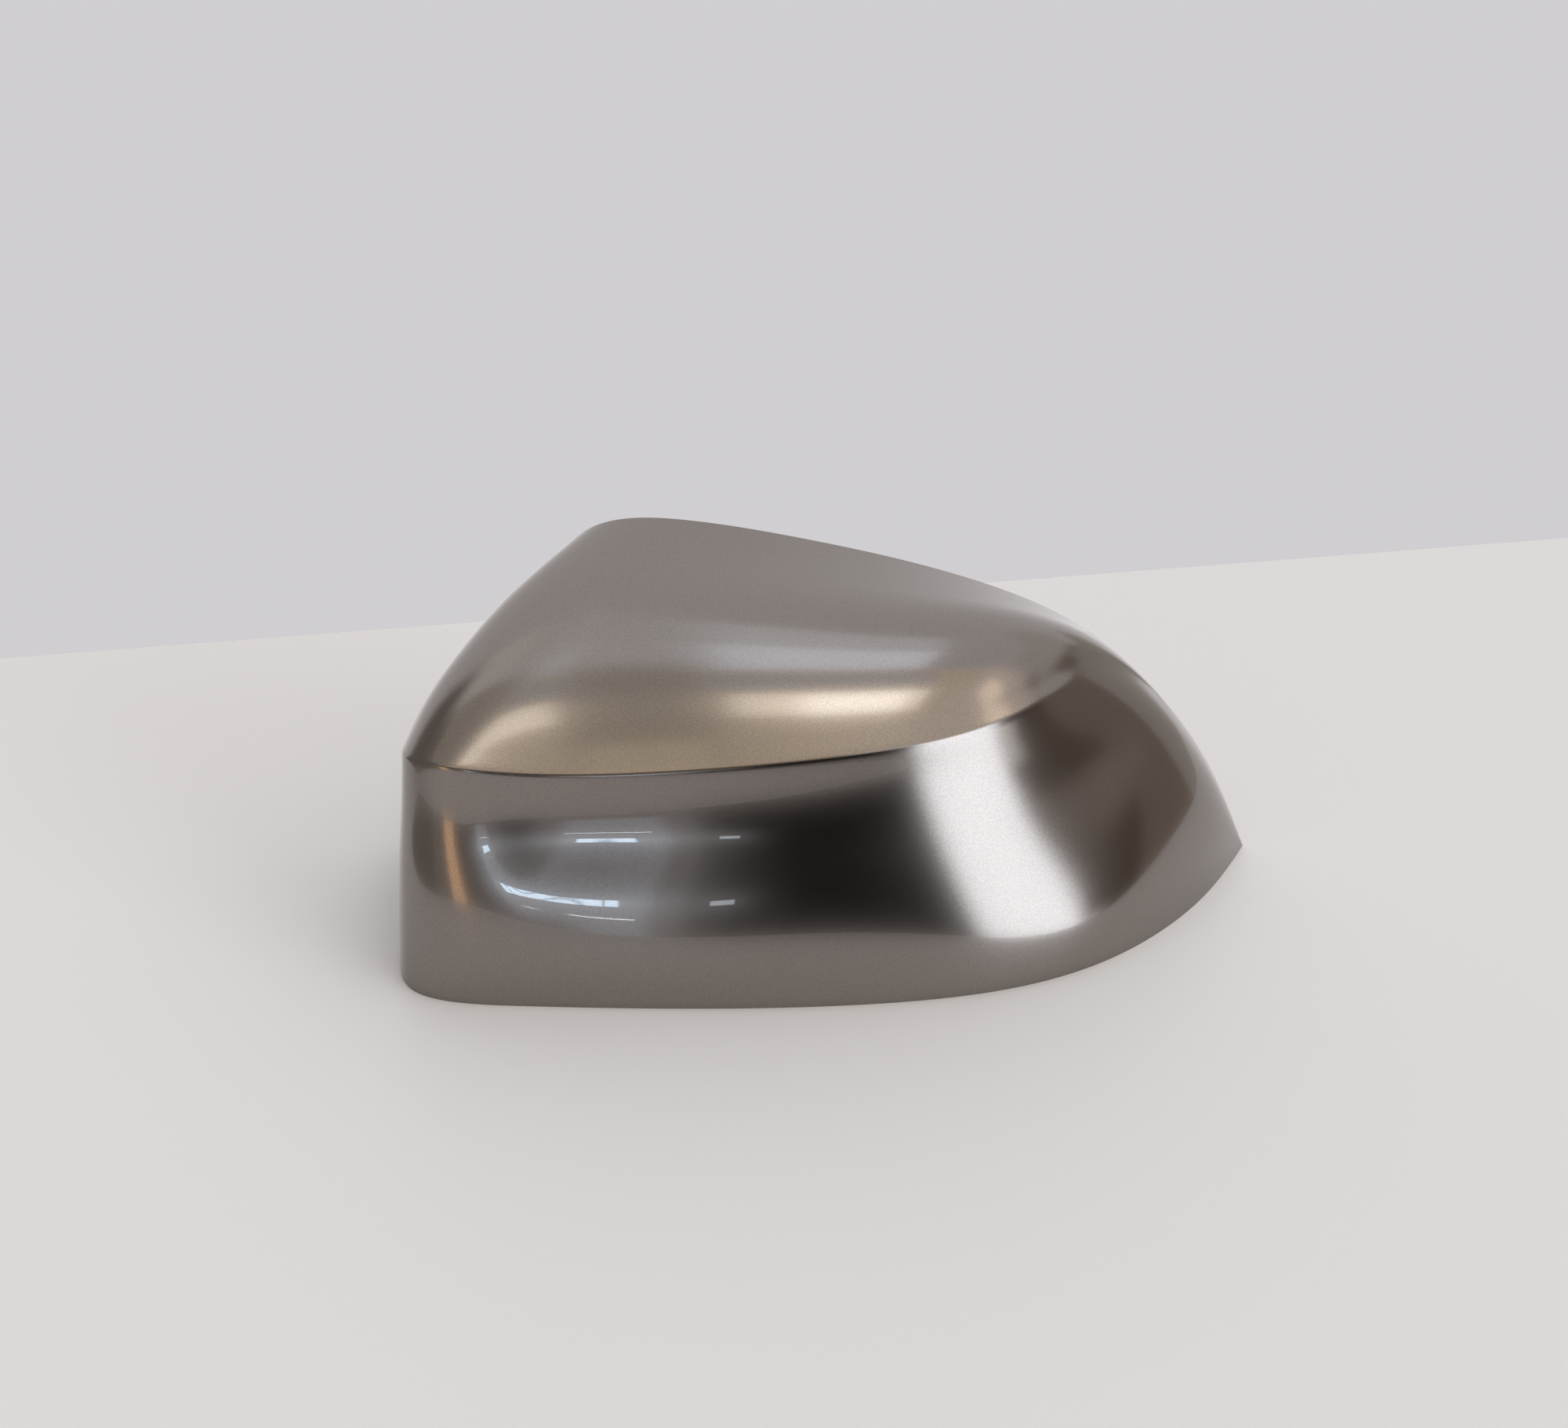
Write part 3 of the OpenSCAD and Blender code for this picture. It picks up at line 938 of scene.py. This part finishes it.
class Chart(Enum):
    """Flat charts on which the patches of the room are laid out."""

    ROUND = "azimuth and elevation, in degrees"
    OVERHEAD = "places on a level ceiling, in heights above the cover"


@dataclass(frozen=True)
class Patch:
    """A soft-edged rectangle of the room, which the paint mirrors."""

    chart: Chart
    across: tuple[float, float]
    along: tuple[float, float]
    soft: float
    colour: Colour


@dataclass
class Studio:
    """Floor, lamps, surroundings and camera."""

    floor_colour: Colour = (0.845, 0.85, 0.865)
    floor_roughness: float = 0.5
    backdrop: Colour = (0.63, 0.617, 0.636)
    camera_place: tuple = (-0.01522, -0.63592, 0.36071)
    camera_pitch: float = 65.0
    lens: float = 60.0
    floor_side: float = 0.33
    floor_taper: float = 0.55
    floor_front: tuple = (-0.345, 0.235)
    floor_back: tuple = (0.2395, 0.2012)
    level: float = 1.15
    lowest_height: float = 0.05
    room: Colour = (0.70, 0.68, 0.69)
    patches: tuple = (
        # Overhead: a warm front half, darker to the left, with cool and warm lamps
        Patch(Chart.OVERHEAD, (-99, 99), (-99, -0.1), 0.06, (0.92, 0.80, 0.65)),
        Patch(Chart.OVERHEAD, (-99, -0.45), (-99, 0.06), 0.08, (0.36, 0.32, 0.29)),
        Patch(Chart.OVERHEAD, (-0.45, -0.11), (-99, -0.02), 0.04, (0.50, 0.46, 0.41)),
        Patch(Chart.OVERHEAD, (-0.26, -0.13), (-1.3, -0.68), 0.04, (1.15, 0.98, 0.74)),
        Patch(Chart.OVERHEAD, (-0.5, -0.2), (0.02, 0.42), 0.06, (0.84, 0.81, 0.78)),
        Patch(Chart.OVERHEAD, (-0.1, 0.38), (0.2, 0.46), 0.06, (1.00, 1.03, 1.08)),
        Patch(Chart.OVERHEAD, (-0.1, 0.38), (-0.1, 0.2), 0.04, (1.38, 1.48, 1.65)),
        Patch(Chart.OVERHEAD, (-0.12, 0.5), (-0.33, -0.16), 0.02, (0.66, 0.66, 0.68)),
        Patch(Chart.OVERHEAD, (-0.085, 0.52), (-0.54, -0.36), 0.03, (2.55, 2.33, 2.0)),
        Patch(Chart.OVERHEAD, (0.06, 0.42), (-0.53, -0.37), 0.05, (4.0, 3.85, 3.5)),
        # All round: dim sides, then narrower light and dark strips in front of the cover
        Patch(Chart.ROUND, (-125, -35), (-30, 60), 8.0, (0.24, 0.215, 0.20)),
        Patch(Chart.ROUND, (-40, 135), (-95, 28), 4.0, (0.32, 0.29, 0.27)),
        Patch(Chart.ROUND, (-25, 17), (14, 41), 3.0, (0.26, 0.21, 0.17)),
        Patch(Chart.ROUND, (20, 90), (27, 50), 4.0, (0.98, 0.88, 0.79)),
        Patch(Chart.ROUND, (68, 80), (35, 44), 2.5, (2.1, 1.8, 1.5)),
        Patch(Chart.ROUND, (95, 145), (19, 40), 4.0, (0.62, 0.585, 0.57)),
        Patch(Chart.ROUND, (-17, -8.5), (-12, 14), 1.0, (0.16, 0.16, 0.16)),
        Patch(Chart.ROUND, (-8.2, -5.6), (-7, 12), 0.6, (1.0, 1.1, 1.25)),
        Patch(Chart.ROUND, (118, 152), (-40, 14), 4.0, (0.42, 0.385, 0.36)),
        Patch(Chart.ROUND, (70, 118), (-30, 17), 2.5, (0.27, 0.225, 0.19)),
        Patch(Chart.ROUND, (70, 88), (-30, 14), 2.5, (0.12, 0.09, 0.07)),
        Patch(Chart.ROUND, (-26, -19), (-12, 14), 0.7, (1.5, 1.0, 0.62)),
        Patch(Chart.ROUND, (-3.5, 34), (-10, 19), 1.0, (0.002, 0.002, 0.003)),
        Patch(Chart.ROUND, (60, 74), (-24, -3), 4.0, (1.3, 1.3, 1.3)),
        Patch(Chart.ROUND, (35, 66), (-24, 28), 4.0, (2.9, 3.1, 3.35)),
    )
    boxes: tuple = (
        SoftBox("pane_1", -8.12, 4.1, 2.5, 0.018, 0.085, 15, (0.64, 0.82, 1.0)),
        SoftBox("pane_2", -8.6, 4.1, 2.5, 0.018, 0.085, 15, (0.64, 0.82, 1.0)),
        SoftBox("pane_3", -9.08, 4.1, 2.5, 0.018, 0.085, 15, (0.64, 0.82, 1.0)),
        SoftBox("sill", -8.3, -0.2, 2.5, 0.09, 0.01, 14, (0.9, 0.95, 1.0)),
        SoftBox("small_pane", -1.6, 3.4, 2.5, 0.09, 0.05, 6, (0.85, 0.92, 1.0)),
    )

    def build(self) -> None:
        """Sets the whole studio up."""
        self._camera()
        self._floor()
        self._surroundings()
        for box in self.boxes:
            box.place()

    def _camera(self) -> None:
        """Looks down on the cover's front, as the photograph does."""
        data = bpy.data.cameras.new("camera")
        data.lens = self.lens
        data.sensor_width = 36.0
        data.sensor_fit = "HORIZONTAL"
        camera = bpy.data.objects.new("camera", data)
        camera.location = self.camera_place
        camera.rotation_euler = (math.radians(self.camera_pitch), 0, 0)
        bpy.context.collection.objects.link(camera)
        bpy.context.scene.camera = camera

    def _floor(self) -> None:
        """A pale floor, whose front and back edges run slightly askew."""
        clear_selection()
        bpy.ops.mesh.primitive_plane_add(size=2)
        floor = bpy.context.object
        floor.name = "floor"
        for vert in floor.data.vertices:
            middle, slope = self.floor_back if vert.co.y > 0 else self.floor_front
            side = self.floor_side * (1 if vert.co.y > 0 else self.floor_taper)
            x = math.copysign(side, vert.co.x)
            vert.co = (x, middle + slope * x, 0)
        made = bpy.data.materials.new("pale_floor")
        made.use_nodes = True
        bench = Bench(made.node_tree)
        values = {"Base Color": (*self.floor_colour, 1), "Roughness": self.floor_roughness}
        shader = bench.add("ShaderNodeBsdfPrincipled", {}, values)
        bench.add("ShaderNodeOutputMaterial", {}, {"Surface": shader.outputs[0]})
        floor.data.materials.append(made)

    def _surroundings(self) -> None:
        """A soft room of light and dark patches. The camera itself sees a plain backdrop."""
        world = bpy.data.worlds.new("room")
        world.use_nodes = True
        bpy.context.scene.world = world
        bench = Bench(world.node_tree)
        way = bench.add("ShaderNodeTexCoord", {}, {}).outputs["Generated"]
        x, y, z = bench.parts(way)
        height = z.highest(self.lowest_height)
        places = {
            Chart.ROUND: (x.arctan2(-1 * y) * math.degrees(1), z.arcsine() * math.degrees(1)),
            Chart.OVERHEAD: (x / height, y / height),
        }
        colour = self.room
        for patch in self.patches:
            across, along = places[patch.chart]
            share = across.band(*patch.across, patch.soft) * along.band(*patch.along, patch.soft)
            colour = bench.mix(share, colour, patch.colour)
        path = bench.add("ShaderNodeLightPath", {}, {})
        seen = Signal(bench, path.outputs["Is Camera Ray"])
        colour = bench.mix(seen, colour, self.backdrop)
        strength = seen * (1 - self.level) + self.level
        background = bench.add("ShaderNodeBackground", {}, {"Color": colour, "Strength": strength})
        bench.add("ShaderNodeOutputWorld", {}, {"Surface": background.outputs[0]})


def main() -> None:
    """Builds the cover and its studio in order."""
    logging.basicConfig(level=logging.INFO, format="%(name)s %(message)s")
    Studio().build()
    form = CoverForm()
    PaintedShell(form).build()
    LocatingPosts(form).build()
    SnapHooks(form).build()
    StiffeningRibs(form).build()
    bpy.context.scene.view_settings.view_transform = "Standard"


if __name__ == "__main__":
    main()
